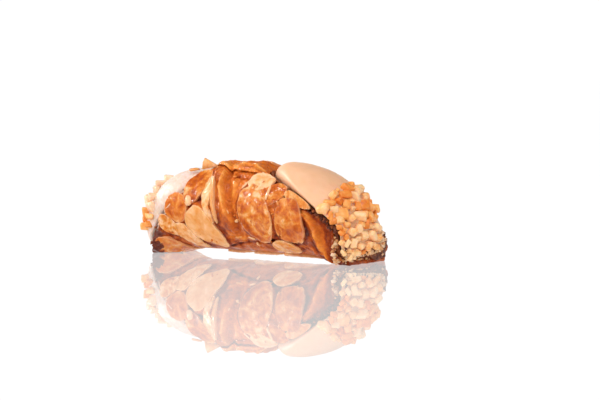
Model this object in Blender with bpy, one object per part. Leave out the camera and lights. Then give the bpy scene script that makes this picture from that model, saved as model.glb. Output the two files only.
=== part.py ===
"""A filled cannolo lying on a table: a rolled pastry tube covered in sliced almonds, lined
with dark chocolate at both mouths and filled with hazelnut cream whose ends are dipped in
chopped nuts.

The tube lies along X. Angles run round the tube in degrees: 0 is the underside, 90 the
near side (-Y), 180 the top and 270 the far side (+Y). Lengths are in metres.
"""

import itertools
import math
import random

import bmesh
import bpy
from mathutils import Vector, noise

MM = 0.001

# The pastry tube
TUBE_RADIUS = 15.5 * MM
AXIS_HEIGHT = 17.6 * MM
WALL = 2.4 * MM
GAP = 0.35 * MM

# The mouths: where each rim stands at the foot and at the top of the tube
RIGHT_RIM_FOOT = 41.8 * MM
RIGHT_RIM_TOP = 4.0 * MM
RIGHT_RIM_UPRIGHT = 0.33
RIGHT_RIM_UPRIGHT_FAR = 0.22
RIGHT_RIM_CURVE = 1.2
RIGHT_RIM_SKEW = 1.0 * MM
LEFT_RIM_FOOT = -48.0 * MM
LEFT_RIM_TOP = -18.0 * MM

# The ends widen to a squarish lip whose underside stands on the table
RIGHT_LIP_START = 24.0 * MM
RIGHT_LIP_POWER = 6.0
LEFT_LIP_START = -30.0 * MM
LEFT_LIP_POWER = 3.2
LIP_DROP = 0.21

# The overlap of the rolled sheet: its free edge runs along the top, nearest side up
FLAP_ANGLE_LEFT = 162.0
FLAP_ANGLE_RIGHT = 146.0
FLAP_THICKNESS = 1.7 * MM
FLAP_FADE = 110.0
FLAP_ENDS = 0.22
RIM_TOP_DROP = 1.6 * MM
RIM_TOP_REACH = 0.25
FLAP_EDGE_TURN = 2.0

# A fold round the near side with a groove beside it
FOLD_TOP = (-14.5 * MM, 153.0)
FOLD_LOW = (-6.5 * MM, 75.0)
FOLD_HALF_WIDTH = 3.4 * MM
FOLD_HEIGHT = 1.2 * MM
GROOVE_OFFSET = 4.4 * MM
GROOVE_HALF_WIDTH = 1.1 * MM
GROOVE_DEPTH = 1.1 * MM

# The outer layer ends short of the right mouth, with a ridge
LAYER_END = 0.915
LAYER_END_STEP = 0.025
LAYER_DROP = 1.3 * MM
LAYER_END_ANGLE = 72.0

# Blisters and dents of the baked surface
LUMP_HEIGHT = 0.55 * MM
LUMP_SIZE = 7.0 * MM

# Sliced almonds: along, angle, heading on the unrolled tube, length, width, tilt, squareness
# (2 is an oval, more is blockier) and taper towards the end that the heading points to
SLICE_THICKNESS = 1.15 * MM
SLICE_SUNK = 0.45 * MM
SLICE_POINTS = 10
SLICE_FOLLOWS = 0.6
NEAR_SLICES = [
    (-28.9, 91.0, -68.0, 11.4, 10.8, 0.4, 1.7, 0.1),
    (-20.7, 124.0, 68.0, 14.5, 8.2, 0.3, 2.2, 0.1),
    (-14.9, 113.0, -88.0, 12.4, 5.2, 1.0, 2.3, 0.25),
    (-10.9, 101.0, -76.0, 14.8, 2.8, 1.3, 2.4, 0.2),
    (-13.4, 84.0, -59.0, 6.7, 3.4, 0.6, 2.0, 0.2),
    (-16.4, 63.0, -46.0, 20.5, 11.6, 0.5, 2.0, 0.28),
    (-25.2, 47.0, -51.0, 15.0, 7.0, 0.3, 2.2, 0.2),
    (-36.6, 31.0, -48.0, 14.5, 8.6, 0.3, 2.0, 0.2),
    (-33.6, 67.0, -41.0, 9.6, 6.0, 0.1, 2.2, 0.0),
    (7.4, 88.0, -67.0, 22.3, 13.4, 0.3, 2.1, 0.0),
    (7.8, 133.0, -7.0, 11.6, 7.8, 0.1, 2.0, 0.1),
    (15.6, 115.0, 23.0, 10.5, 6.2, 0.9, 3.0, 0.2),
    (22.8, 82.0, -88.0, 16.2, 12.2, 0.4, 3.0, -0.16),
    (26.0, 108.5, -23.0, 12.7, 3.4, 0.6, 2.2, 0.1),
    (17.4, 39.0, -8.0, 11.6, 7.4, 0.2, 2.0, 0.1),
    (-18.6, 158.0, 100.0, 6.6, 4.6, 2.4, 1.6, 0.8),
]
FAR_SLICES = 11
FAR_SLICE_LENGTH = (14.0 * MM, 21.0 * MM)
FAR_SLICE_SHAPE = (0.5, 0.62)
FAR_SLICE_SPACING = 11.5 * MM
FAR_SLICE_ANGLES = (188.0, 352.0)
FAR_SQUARENESS = 2.0
FAR_TAPER = 0.28
FAR_SEED = 11

# Chocolate: a lining inside each mouth with a lip over the end of the wall
CHOCOLATE_THICKNESS = 1.1 * MM
CHOCOLATE_REACH = 7.0 * MM
CHOCOLATE_LIP = 1.0 * MM
CHOCOLATE_LIP_INSET = 1.5 * MM

# Cream: how far its ends stand out, and how full it is at the foot and top of each mouth
RIGHT_CREAM_END = 44.2 * MM
LEFT_CREAM_END = -51.4 * MM
CREAM_TIP_HEIGHT = 11.0 * MM
RIGHT_CREAM_FOOT = 12.2 * MM
RIGHT_CREAM_TOP = 17.4 * MM
RIGHT_CREAM_FAR_SLACK = 2.8 * MM
LEFT_CREAM_FOOT = 12.0 * MM
LEFT_CREAM_TOP = 14.3 * MM
RIGHT_DOME_POWER = 2.7
LEFT_DOME_POWER = 3.0
CREAM_SHOULDER_SIDE = 1.6 * MM
CREAM_SHOULDER_TOP = 8.0 * MM

# Chopped nuts on the ends of the cream
NUT_SIZE = (3.0 * MM, 4.8 * MM)
NUT_PROUD = 0.1
NUT_CROWDING = 0.42
NUT_CLEAR = 0.78
NUT_SEED = 6
RIGHT_NUTS_FROM = 37.0 * MM
LEFT_NUTS_FROM = -43.5 * MM
LEFT_NUTS_LOWEST = 9.0 * MM
RIGHT_BARE_BEYOND = 7.0 * MM
RIGHT_BARE_BELOW = 17.0 * MM
NUTS_PER_END = 52

# Facets of the grids
ROUND_STEPS = 48
LENGTH_STEPS = 26
INNER_STEPS = 10
CREAM_STEPS = 8
LINING_STEPS = 36
DOME_STEPS = 8
DOME_SPREAD = 1.5
FLAT_ENOUGH = math.radians(0.5)

COLOURS = {
    "shell": ((0.46, 0.16, 0.05), 0.35),
    "chocolate": ((0.06, 0.025, 0.02), 0.45),
    "cream": ((0.86, 0.60, 0.42), 0.4),
}


def smooth(value):
    """0 below 0, 1 above 1 and an even ramp between."""
    value = min(1.0, max(0.0, value))
    return value * value * (3.0 - 2.0 * value)


def mix(low, high, part):
    return low + (high - low) * part


def height_part(angle):
    """0 at the foot of the tube and 1 at its top."""
    return (1.0 - math.cos(math.radians(angle))) / 2.0


def right_rim(angle):
    aside = math.sin(math.radians(angle))
    upright = mix(RIGHT_RIM_UPRIGHT, RIGHT_RIM_UPRIGHT_FAR, smooth(0.5 - 1.5 * aside))
    rise = max(0.0, (height_part(angle) - upright) / (1.0 - upright))
    skew = RIGHT_RIM_SKEW * aside * (1.0 - rise)
    return mix(RIGHT_RIM_FOOT, RIGHT_RIM_TOP, rise**RIGHT_RIM_CURVE) - skew


def left_rim(angle):
    return mix(LEFT_RIM_FOOT, LEFT_RIM_TOP, height_part(angle))


def rim_offset(rim, angle, distance):
    """How far along X a place lies from the rim when it is this far from it square to the rim."""
    turn = math.radians(1.0)
    slope = (rim(angle + 1.0) - rim(angle - 1.0)) / (2.0 * turn * TUBE_RADIUS)
    return distance * math.hypot(1.0, slope)


def lip_shape(angle, x):
    """How much further out than round the section stands at this place, low down at the ends."""
    down = math.cos(math.radians(angle))
    if down <= 0.0:
        return 1.0, 1.0
    right = smooth((x - RIGHT_LIP_START) / (RIGHT_RIM_FOOT - RIGHT_LIP_START))
    left = smooth((x - LEFT_LIP_START) / (LEFT_RIM_FOOT - LEFT_LIP_START))
    power, amount = (RIGHT_LIP_POWER, right) if x > 0.0 else (LEFT_LIP_POWER, left)
    across = abs(math.sin(math.radians(angle)))
    square = (across**power + down**power) ** (-1.0 / power)
    widen = mix(1.0, square, amount * smooth(down * 3.0))
    return widen, 1.0 + LIP_DROP * amount * smooth(down * 2.0)


def place(x, angle, radius):
    """The point at this distance from the axis; nothing lies below the table."""
    widen, drop = lip_shape(angle, x)
    turn = math.radians(angle)
    down = radius * widen * math.cos(turn) * drop
    return Vector((x, -radius * widen * math.sin(turn), max(0.0, AXIS_HEIGHT - down)))


def near(value, centre, half_width):
    """1 at the centre and 0 from half_width away, on a smooth bump."""
    return smooth(1.0 - abs(value - centre) / half_width)


def flap_angle(along):
    return mix(FLAP_ANGLE_LEFT, FLAP_ANGLE_RIGHT, along)


def fold_relief(x, angle):
    drop = (FOLD_TOP[1] - angle) / (FOLD_TOP[1] - FOLD_LOW[1])
    centre = mix(FOLD_TOP[0], FOLD_LOW[0], drop)
    reach = smooth((drop + 0.35) * 3.0) * smooth((1.3 - drop) * 3.0)
    ridge = FOLD_HEIGHT * smooth(1.6 - 1.6 * abs(x - centre) / FOLD_HALF_WIDTH)
    groove = GROOVE_DEPTH * near(x, centre + GROOVE_OFFSET, GROOVE_HALF_WIDTH * 2.0)
    return reach * (ridge - groove)


def outer_radius(x, angle, along):
    """The tube's outer radius with its overlap, fold, layer end and lumps."""
    turned = (angle - flap_angle(along)) % 360.0
    ends = smooth(along / FLAP_ENDS) * smooth((1.0 - along) / FLAP_ENDS)
    flap = FLAP_THICKNESS * smooth(1.0 - turned / FLAP_FADE) * ends
    top = smooth((height_part(angle) - 0.8) * 5.0) * smooth((along - 1.0 + RIM_TOP_REACH) / RIM_TOP_REACH)
    facing = smooth((math.cos(math.radians(angle - LAYER_END_ANGLE)) - 0.5) * 4.0)
    layer_end = smooth((along - LAYER_END) / LAYER_END_STEP) * facing
    where = place(x, angle, TUBE_RADIUS)
    lump = noise.noise(where / LUMP_SIZE) + 0.5 * noise.noise(where / LUMP_SIZE * 2.3)
    flat_foot = 1.0 - smooth(math.cos(math.radians(angle)) * 4.0 - 3.0)
    relief = fold_relief(x, angle % 360.0) + LUMP_HEIGHT * lump * flat_foot
    return TUBE_RADIUS + flap + relief - LAYER_DROP * layer_end - RIM_TOP_DROP * top


def grid_object(name, rows, close_ends=False, poles=None):
    """A closed body from rings of equal length: joined end to end, or capped by two points."""
    mesh = bmesh.new()
    rings = [[mesh.verts.new(point) for point in ring] for ring in rows]
    count = len(rings[0])
    pairs = list(zip(rings, rings[1:]))
    if close_ends:
        pairs.append((rings[-1], rings[0]))
    for first, second in pairs:
        for index in range(count):
            after = (index + 1) % count
            mesh.faces.new((first[index], first[after], second[after], second[index]))
    if poles:
        for pole, ring in zip(poles, (rings[0], rings[-1])):
            tip = mesh.verts.new(pole)
            for index in range(count):
                mesh.faces.new((tip, ring[index], ring[(index + 1) % count]))
    bmesh.ops.triangulate(mesh, faces=mesh.faces)
    bmesh.ops.recalc_face_normals(mesh, faces=mesh.faces)
    data = bpy.data.meshes.new(name)
    mesh.to_mesh(data)
    mesh.free()
    piece = bpy.data.objects.new(name, data)
    bpy.context.scene.collection.objects.link(piece)
    return piece


def make_tube():
    """The pastry tube: an outer skin with relief, a plain inner one and the two rims."""
    rows = []
    turn_step = (360.0 - FLAP_EDGE_TURN) / (ROUND_STEPS - 1)
    turns = [FLAP_EDGE_TURN / 2.0 + step * turn_step for step in range(ROUND_STEPS)]
    for step in range(LENGTH_STEPS + 1):
        along = step / LENGTH_STEPS
        ring = []
        for turn in turns:
            angle = flap_angle(along) + turn
            x = mix(left_rim(angle), right_rim(angle), along)
            ring.append(place(x, angle, outer_radius(x, angle, along)))
        rows.append(ring)
    for step in range(INNER_STEPS, -1, -1):
        along = (1.0 - math.cos(math.pi * step / INNER_STEPS)) / 2.0
        ring = []
        for turn in turns:
            angle = flap_angle(along) + turn
            x = mix(left_rim(angle), right_rim(angle), along)
            ring.append(place(x, angle, TUBE_RADIUS - WALL))
        rows.append(ring)
    return grid_object("shell", rows, close_ends=True)


def slice_outline(turn, length, width, squareness, taper):
    """A point of an almond slice's outline, from the long axis round towards its side."""
    power = 2.0 / squareness
    forward = math.copysign(abs(math.cos(turn)) ** power, math.cos(turn))
    side = math.copysign(abs(math.sin(turn)) ** power, math.sin(turn))
    return length / 2.0 * forward, width / 2.0 * side * (1.0 - taper * forward)


def make_slice(name, x, angle, heading, length, width, tilt, squareness, taper):
    """A thin almond slice that follows the tube, sunk a little into it and lifted at one side."""
    along_heading = math.radians(heading)

    def lay(forward, side, lift):
        place_x = x + forward * math.cos(along_heading) - side * math.sin(along_heading)
        arc = forward * math.sin(along_heading) + side * math.cos(along_heading)
        place_angle = angle + math.degrees(arc / TUBE_RADIUS)
        span = right_rim(place_angle) - left_rim(place_angle)
        along = (place_x - left_rim(place_angle)) / span
        below = outer_radius(place_x, place_angle, min(along, LAYER_END))
        base = mix(outer_radius(x, angle, 0.5), below, SLICE_FOLLOWS)
        raised = tilt * MM * (0.5 + side / width)
        return place(place_x, place_angle, base - SLICE_SUNK + lift + raised * (1.0 if lift else 0.3))

    rings = []
    for size, lift in ((1.0, 0.0), (1.0, 0.75), (0.86, 1.0), (0.45, 0.94)):
        ring = []
        for point in range(SLICE_POINTS):
            forward, side = slice_outline(math.tau * point / SLICE_POINTS, length, width, squareness, taper)
            ring.append(lay(forward * size, side * size, SLICE_THICKNESS * lift))
        rings.append(ring)
    poles = (lay(0.0, 0.0, 0.0), lay(0.0, 0.0, SLICE_THICKNESS * 0.9))
    return grid_object(name, rings, poles=poles)


def make_slices():
    """The slices of the near side by their places, and a scatter over the top and far side."""
    pieces = []
    for number, (x, angle, heading, length, width, *shape) in enumerate(NEAR_SLICES):
        name = f"near_slice_{number}"
        pieces.append(make_slice(name, x * MM, angle, heading, length * MM, width * MM, *shape))
    dice = random.Random(FAR_SEED)
    taken = [(x * MM, angle) for x, angle, *_ in NEAR_SLICES]
    tries = 0
    while len(taken) < len(NEAR_SLICES) + FAR_SLICES and tries < 4000:
        tries += 1
        angle = dice.uniform(*FAR_SLICE_ANGLES)
        length = dice.uniform(*FAR_SLICE_LENGTH)
        x = dice.uniform(left_rim(angle) + length * 0.55, right_rim(angle) - length * 0.55)
        apart = [math.hypot(x - other, TUBE_RADIUS * math.radians(angle - turn)) for other, turn in taken]
        if min(apart) < FAR_SLICE_SPACING:
            continue
        taken.append((x, angle))
        width = length * dice.uniform(*FAR_SLICE_SHAPE)
        heading = dice.uniform(-80.0, 80.0)
        tilt = dice.uniform(0.1, 0.8)
        name = f"slice_{len(taken)}"
        pieces.append(make_slice(name, x, angle, heading, length, width, tilt, FAR_SQUARENESS, FAR_TAPER))
    return pieces


def make_chocolate(name, rim, outward):
    """A ring inside a mouth: the lining, and a lip that covers the end of the wall."""
    inside = TUBE_RADIUS - WALL - GAP
    lining = inside - CHOCOLATE_THICKNESS
    brim = TUBE_RADIUS - CHOCOLATE_LIP_INSET
    lip_start = GAP
    lip_end = GAP + CHOCOLATE_LIP
    profile = (
        (-CHOCOLATE_REACH, inside),
        (lip_start, inside),
        (lip_start, brim),
        (lip_end * 0.7, brim + 0.1 * MM),
        (lip_end, mix(lining, brim, 0.6)),
        (lip_end * 0.8, lining),
        (-CHOCOLATE_REACH, lining + 0.2 * MM),
    )
    rows = []
    for offset, radius in profile:
        ring = []
        for step in range(LINING_STEPS):
            angle = 360.0 * step / LINING_STEPS
            x = rim(angle) + outward * rim_offset(rim, angle, offset)
            ring.append(place(x, angle, radius))
        rows.append(ring)
    return grid_object(name, rows, close_ends=True)


def cream_fullness(angle, outward):
    part = height_part(angle) ** 0.8
    if outward > 0.0:
        slack = RIGHT_CREAM_FAR_SLACK * max(0.0, -math.sin(math.radians(angle))) ** 1.5
        return mix(RIGHT_CREAM_FOOT, RIGHT_CREAM_TOP, part) - slack
    return mix(LEFT_CREAM_FOOT, LEFT_CREAM_TOP, part)


def cream_dome(rim, outward, end, angle, turn):
    """A point of the cream that stands out of a mouth: turn 0 is at the rim, 90 degrees the tip."""
    start = rim(angle) + outward * rim_offset(rim, angle, 2.0 * GAP + CHOCOLATE_LIP)
    power = RIGHT_DOME_POWER if outward > 0.0 else LEFT_DOME_POWER
    x = mix(start, end, math.sin(turn) ** (2.0 / power))
    full = cream_fullness(angle, outward)
    held = TUBE_RADIUS - WALL - CHOCOLATE_THICKNESS - 2.0 * GAP
    shoulder = mix(CREAM_SHOULDER_SIDE, CREAM_SHOULDER_TOP, height_part(angle) ** 4)
    rise = math.sqrt(1.0 - (1.0 - min(1.0, abs(x - start) / shoulder)) ** 2)
    base = place(start, angle, mix(held, full, rise))
    tip = Vector((x, 0.0, CREAM_TIP_HEIGHT))
    base.x = x
    return tip.lerp(base, math.cos(turn))


def cream_rings(rim, outward, end):
    """Rings from well inside a mouth, past the chocolate, out to the tip of the dome."""
    full = TUBE_RADIUS - WALL - GAP
    passed = full - CHOCOLATE_THICKNESS - GAP
    rings = []
    past_lip = 2.0 * GAP + CHOCOLATE_LIP
    inner = ((-CHOCOLATE_REACH - 1.6 * MM, full), (-CHOCOLATE_REACH - 0.5 * MM, passed), (past_lip, passed))
    for offset, radius in inner:
        ring = []
        for step in range(LINING_STEPS):
            angle = 360.0 * step / LINING_STEPS
            ring.append(place(rim(angle) + outward * rim_offset(rim, angle, offset), angle, radius))
        rings.append(ring)
    for number in range(DOME_STEPS):
        turn = math.pi / 2 * (0.01 + number / DOME_STEPS) ** DOME_SPREAD
        ring = []
        for step in range(LINING_STEPS):
            ring.append(cream_dome(rim, outward, end, 360.0 * step / LINING_STEPS, turn))
        rings.append(ring)
    return rings


def make_cream():
    """The filling, which runs right through the tube and stands out of both mouths."""
    left = cream_rings(left_rim, -1.0, LEFT_CREAM_END)
    right = cream_rings(right_rim, 1.0, RIGHT_CREAM_END)
    middle = []
    for number in range(1, CREAM_STEPS):
        part = number / CREAM_STEPS
        ring = []
        for step, (start, stop) in enumerate(zip(left[0], right[0])):
            angle = 360.0 * step / LINING_STEPS
            ring.append(place(mix(start.x, stop.x, part), angle, TUBE_RADIUS - WALL - GAP))
        middle.append(ring)
    rows = list(reversed(left)) + middle + right
    poles = [Vector((end, 0.0, CREAM_TIP_HEIGHT)) for end in (LEFT_CREAM_END, RIGHT_CREAM_END)]
    return grid_object("cream", rows, poles=poles)


def make_nut(name, centre, size, dice):
    """A chip of chopped nut: an uneven block with flat faces."""
    mesh = bmesh.new()
    stretch = Vector((dice.uniform(1.0, 1.5), dice.uniform(0.85, 1.15), dice.uniform(0.6, 0.85)))
    turned = Vector((dice.uniform(-1, 1), dice.uniform(-1, 1), dice.uniform(-1, 1))).to_track_quat("Z", "Y")
    for corner in itertools.product((-0.39, 0.39), repeat=3):
        mesh.verts.new(centre + turned @ (Vector(corner) * size * stretch * dice.uniform(0.7, 1.2)))
    hull = bmesh.ops.convex_hull(mesh, input=mesh.verts)
    inner = [item for item in hull["geom_interior"] if isinstance(item, bmesh.types.BMVert)]
    bmesh.ops.delete(mesh, geom=inner, context="VERTS")
    bmesh.ops.recalc_face_normals(mesh, faces=mesh.faces)
    data = bpy.data.meshes.new(name)
    mesh.to_mesh(data)
    mesh.free()
    piece = bpy.data.objects.new(name, data)
    bpy.context.scene.collection.objects.link(piece)
    return piece


def lip_points(rim, outward):
    """Points along the front of a mouth's chocolate, which the nuts keep clear of."""
    points = []
    for step in range(2 * LINING_STEPS):
        angle = 180.0 * step / LINING_STEPS
        x = rim(angle) + outward * rim_offset(rim, angle, GAP + CHOCOLATE_LIP)
        points.append(place(x, angle, TUBE_RADIUS - CHOCOLATE_LIP_INSET))
        points.append(place(x, angle, TUBE_RADIUS - WALL - GAP - CHOCOLATE_THICKNESS))
    return points


def make_nuts():
    """Chips spread over the two ends of the cream, the largest first, none near the chocolate."""
    dice = random.Random(NUT_SEED)
    pieces = []
    right = (right_rim, 1.0, RIGHT_CREAM_END, RIGHT_NUTS_FROM, 0.0)
    left = (left_rim, -1.0, LEFT_CREAM_END, LEFT_NUTS_FROM, LEFT_NUTS_LOWEST)
    for rim, outward, end, begin, lowest in (right, left):
        placed = []
        lip = lip_points(rim, outward)
        sizes = sorted((dice.uniform(*NUT_SIZE) for _ in range(NUTS_PER_END)), reverse=True)
        for size in sizes:
            for _ in range(200):
                angle = dice.uniform(0.0, 360.0)
                turn = math.acos(dice.uniform(0.0, 1.0) ** 0.5)
                spot = cream_dome(rim, outward, end, angle, turn)
                heart = Vector((spot.x - outward * TUBE_RADIUS, 0.0, AXIS_HEIGHT))
                spot += (spot - heart).normalized() * size * NUT_PROUD
                if (spot.x - begin) * outward < 0.0 or spot.z < lowest:
                    continue
                if outward > 0.0 and spot.y > RIGHT_BARE_BEYOND and spot.z < RIGHT_BARE_BELOW:
                    continue
                if min((spot - point).length for point in lip) < size * NUT_CLEAR:
                    continue
                if any((spot - other).length < NUT_CROWDING * (size + width) for other, width in placed):
                    continue
                placed.append((spot, size))
                pieces.append(make_nut(f"nut_{len(pieces)}", spot, size, dice))
                break
    return pieces


def fuse(body, pieces, solver):
    """Joins the pieces to the body as one solid and drops loose scraps and sealed hollows."""
    group = bpy.data.collections.new(body.name + "_pieces")
    bpy.context.scene.collection.children.link(group)
    for piece in pieces:
        bpy.context.scene.collection.objects.unlink(piece)
        group.objects.link(piece)
    join = body.modifiers.new("Join", "BOOLEAN")
    join.operation = "UNION"
    join.operand_type = "COLLECTION"
    join.collection = group
    join.solver = solver
    bpy.context.view_layer.update()
    graph = bpy.context.evaluated_depsgraph_get()
    joined = bpy.data.meshes.new_from_object(body.evaluated_get(graph))
    body.modifiers.clear()
    body.data = joined
    for piece in list(group.objects):
        bpy.data.objects.remove(piece)
    bpy.data.collections.remove(group)
    keep_largest(body)


def keep_largest(body):
    mesh = bmesh.new()
    mesh.from_mesh(body.data)
    left = set(mesh.verts)
    groups = []
    while left:
        edge_of_group = [left.pop()]
        found = set(edge_of_group)
        while edge_of_group:
            vert = edge_of_group.pop()
            for edge in vert.link_edges:
                other = edge.other_vert(vert)
                if other in left:
                    left.remove(other)
                    found.add(other)
                    edge_of_group.append(other)
        groups.append(found)
    groups.sort(key=len)
    for group in groups[:-1]:
        bmesh.ops.delete(mesh, geom=list(group), context="VERTS")
    bmesh.ops.dissolve_limit(mesh, angle_limit=FLAT_ENOUGH, verts=mesh.verts, edges=mesh.edges)
    bmesh.ops.triangulate(mesh, faces=mesh.faces)
    mesh.to_mesh(body.data)
    mesh.free()


def paint(piece, kind):
    colour, roughness = COLOURS[kind]
    material = bpy.data.materials.new(piece.name)
    material.use_nodes = True
    surface = material.node_tree.nodes["Principled BSDF"]
    surface.inputs["Base Color"].default_value = (*colour, 1.0)
    surface.inputs["Roughness"].default_value = roughness
    surface.inputs["Metallic"].default_value = 0.0
    piece.data.materials.clear()
    piece.data.materials.append(material)


def centre_on_foot(pieces):
    """Moves the meshes so that the origin is under the middle of the whole, on the table."""
    points = [vert.co for piece in pieces for vert in piece.data.vertices]
    middle_x = (min(p.x for p in points) + max(p.x for p in points)) / 2.0
    middle_y = (min(p.y for p in points) + max(p.y for p in points)) / 2.0
    for piece in pieces:
        for vert in piece.data.vertices:
            vert.co.x -= middle_x
            vert.co.y -= middle_y


def main():
    for leftover in list(bpy.data.objects):
        bpy.data.objects.remove(leftover)
    shell = make_tube()
    fuse(shell, make_slices(), "EXACT")
    cream = make_cream()
    fuse(cream, make_nuts(), "MANIFOLD")
    left = make_chocolate("chocolate_rim_left", left_rim, -1.0)
    right = make_chocolate("chocolate_rim_right", right_rim, 1.0)
    pieces = [shell, cream, left, right]
    centre_on_foot(pieces)
    for piece, kind in zip(pieces, ("shell", "cream", "chocolate", "chocolate")):
        paint(piece, kind)
        piece.data.shade_smooth()
        piece.data.set_sharp_from_angle(angle=math.radians(35.0))


main()
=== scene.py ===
"""The looks of a filled cannolo lying on a table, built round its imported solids.

The tube lies along X. Angles run round it in degrees: 0 is the underside, 90 the near side
(-Y), 180 the top and 270 the far side (+Y). Lengths are in metres. Places are worked out in
the tube's own frame, and every piece is moved by SHIFT into the frame of the solids.
"""

import itertools
import math
import random

import bmesh
import bpy
import numpy as np
from mathutils import Matrix, Vector, noise


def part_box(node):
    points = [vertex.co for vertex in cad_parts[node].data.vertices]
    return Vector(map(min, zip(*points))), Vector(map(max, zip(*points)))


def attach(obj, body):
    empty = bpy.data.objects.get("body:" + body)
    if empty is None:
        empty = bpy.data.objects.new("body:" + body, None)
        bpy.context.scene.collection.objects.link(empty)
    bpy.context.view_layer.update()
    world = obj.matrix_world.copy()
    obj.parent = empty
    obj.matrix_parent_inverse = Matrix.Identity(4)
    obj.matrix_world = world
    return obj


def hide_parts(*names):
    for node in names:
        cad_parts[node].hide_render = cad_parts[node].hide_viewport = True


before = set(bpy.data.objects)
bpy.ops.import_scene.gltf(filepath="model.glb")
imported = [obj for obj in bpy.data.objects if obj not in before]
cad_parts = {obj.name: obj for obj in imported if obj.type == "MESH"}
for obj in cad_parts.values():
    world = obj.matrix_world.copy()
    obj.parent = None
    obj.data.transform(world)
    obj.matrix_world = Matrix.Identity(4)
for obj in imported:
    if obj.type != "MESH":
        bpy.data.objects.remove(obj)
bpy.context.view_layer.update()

MM = 0.001

# The pastry tube
TUBE_RADIUS = 15.5 * MM
AXIS_HEIGHT = 17.6 * MM
WALL = 2.4 * MM
GAP = 0.35 * MM

# The mouths: where each rim stands at the foot and at the top of the tube
RIGHT_RIM_FOOT = 41.8 * MM
RIGHT_RIM_TOP = 4.0 * MM
RIGHT_RIM_UPRIGHT = 0.33
RIGHT_RIM_UPRIGHT_FAR = 0.22
RIGHT_RIM_CURVE = 1.2
RIGHT_RIM_SKEW = 1.0 * MM
LEFT_RIM_FOOT = -48.0 * MM
LEFT_RIM_TOP = -18.0 * MM

# The ends widen to a squarish lip whose underside stands on the table
RIGHT_LIP_START = 24.0 * MM
RIGHT_LIP_POWER = 6.0
LEFT_LIP_START = -30.0 * MM
LEFT_LIP_POWER = 3.2
LIP_DROP = 0.21

# The overlap of the rolled sheet: its free edge runs along the top, nearest side up
FLAP_ANGLE_LEFT = 162.0
FLAP_ANGLE_RIGHT = 146.0
FLAP_THICKNESS = 1.7 * MM
FLAP_FADE = 110.0
FLAP_ENDS = 0.22
FLAP_UNDERCUT = 5.0
FLAP_RAGGED = 0.9
FLAP_LIP = 0.35 * MM
RIM_TOP_DROP = 1.6 * MM
RIM_TOP_REACH = 0.25
RIM_TOP_PART = 0.8

# A fold round the near side with a groove beside it, which run on past both ends
FOLD_TOP = (-14.5 * MM, 153.0)
FOLD_LOW = (-6.5 * MM, 75.0)
FOLD_PAST_TOP = 0.35
FOLD_PAST_LOW = 1.3
FOLD_HALF_WIDTH = 3.4 * MM
FOLD_HEIGHT = 1.2 * MM
GROOVE_OFFSET = 4.4 * MM
GROOVE_HALF_WIDTH = 1.1 * MM
GROOVE_DEPTH = 1.1 * MM

# The outer layer ends short of the right mouth, with a ridge
LAYER_END = 0.915
LAYER_END_STEP = 0.025
LAYER_DROP = 1.3 * MM
LAYER_END_ANGLE = 72.0

# Blisters and dents of the baked surface
LUMP_HEIGHT = 0.55 * MM
LUMP_SIZE = 7.0 * MM
BLISTER_HEIGHT = 0.34 * MM
BLISTER_SIZE = 2.4 * MM
GRAIN_HEIGHT = 0.13 * MM
GRAIN_SIZE = 0.8 * MM
RIM_RAGGED = 0.7 * MM
RIM_RAGGED_SIZE = 2.6 * MM

# Sliced almonds: along, angle, heading on the unrolled tube, length, width, tilt, squareness
# (2 is an oval, more is blockier), taper towards the end that the heading points to, tone from
# pale to dark orange, and how mottled with caramel. The last one stands up from the rim, and the
# flakes include it
SLICE_THICKNESS = 1.15 * MM
SLICE_SUNK = 0.45 * MM
SLICE_FOLLOWS = 0.6
NEAR_SLICES = (
    (-28.9, 91, -68, 11.4, 10.8, 0.4, 1.7, 0.1, 0.55, 0.6),
    (-20.7, 124, 68, 14.5, 8.2, 0.3, 2.2, 0.1, 0.62, 0.9),
    (-14.9, 113, -88, 12.4, 5.2, 1, 2.3, 0.25, 0.2, 0.35),
    (-10.9, 101, -76, 14.8, 2.8, 1.3, 2.4, 0.2, 0.3, 0.2),
    (-13.4, 84, -59, 6.7, 3.4, 0.6, 2, 0.2, 0.15, 0.3),
    (-16.4, 63, -46, 20.5, 11.6, 0.5, 2, 0.28, 0.22, 0.15),
    (-25.2, 47, -51, 15, 7, 0.3, 2.2, 0.2, 0.22, 0.4),
    (-36.6, 31, -48, 14.5, 8.6, 0.3, 2, 0.2, 0.5, 0.5),
    (-33.6, 67, -41, 9.6, 6, 0.1, 2.2, 0, 0.35, 0.8),
    (7.4, 88, -67, 22.3, 13.4, 0.3, 2.1, 0, 0.55, 0.9),
    (7.8, 133, -7, 11.6, 7.8, 0.1, 2, 0.1, 0.12, 0.3),
    (15.6, 115, 23, 10.5, 6.2, 0.9, 3, 0.2, 0.6, 0.9),
    (22.8, 82, -88, 16.2, 12.2, 0.4, 3, -0.16, 0.62, 0.7),
    (26, 108.5, -23, 12.7, 3.4, 0.6, 2.2, 0.1, 0.3, 0.6),
    (17.4, 39, -8, 11.6, 7.4, 0.2, 2, 0.1, 0.3, 0.45),
    (-18.6, 158, 100, 6.6, 4.6, 2.4, 1.6, 0.8, 0.2, 0.2),
)
FAR_SLICES = 11
FAR_SLICE_LENGTH = (14.0 * MM, 21.0 * MM)
FAR_SLICE_SHAPE = (0.5, 0.62)
FAR_SLICE_SPACING = 11.5 * MM
FAR_SLICE_ANGLES = (188.0, 352.0)
FAR_SQUARENESS = 2.0
FAR_TAPER = 0.28
FAR_SLICE_HEADINGS = (-80.0, 80.0)
FAR_SLICE_TILTS = (0.1, 0.8)
FAR_TRIES = 4000
FAR_SEED = 11

# Chocolate: a lining inside each mouth with a lip over the end of the wall
CHOCOLATE_THICKNESS = 1.1 * MM
CHOCOLATE_REACH = 7.0 * MM
CHOCOLATE_LIP = 1.0 * MM
CHOCOLATE_LIP_INSET = 1.5 * MM
CHOCOLATE_ROUGHNESS = 0.22 * MM

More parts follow.
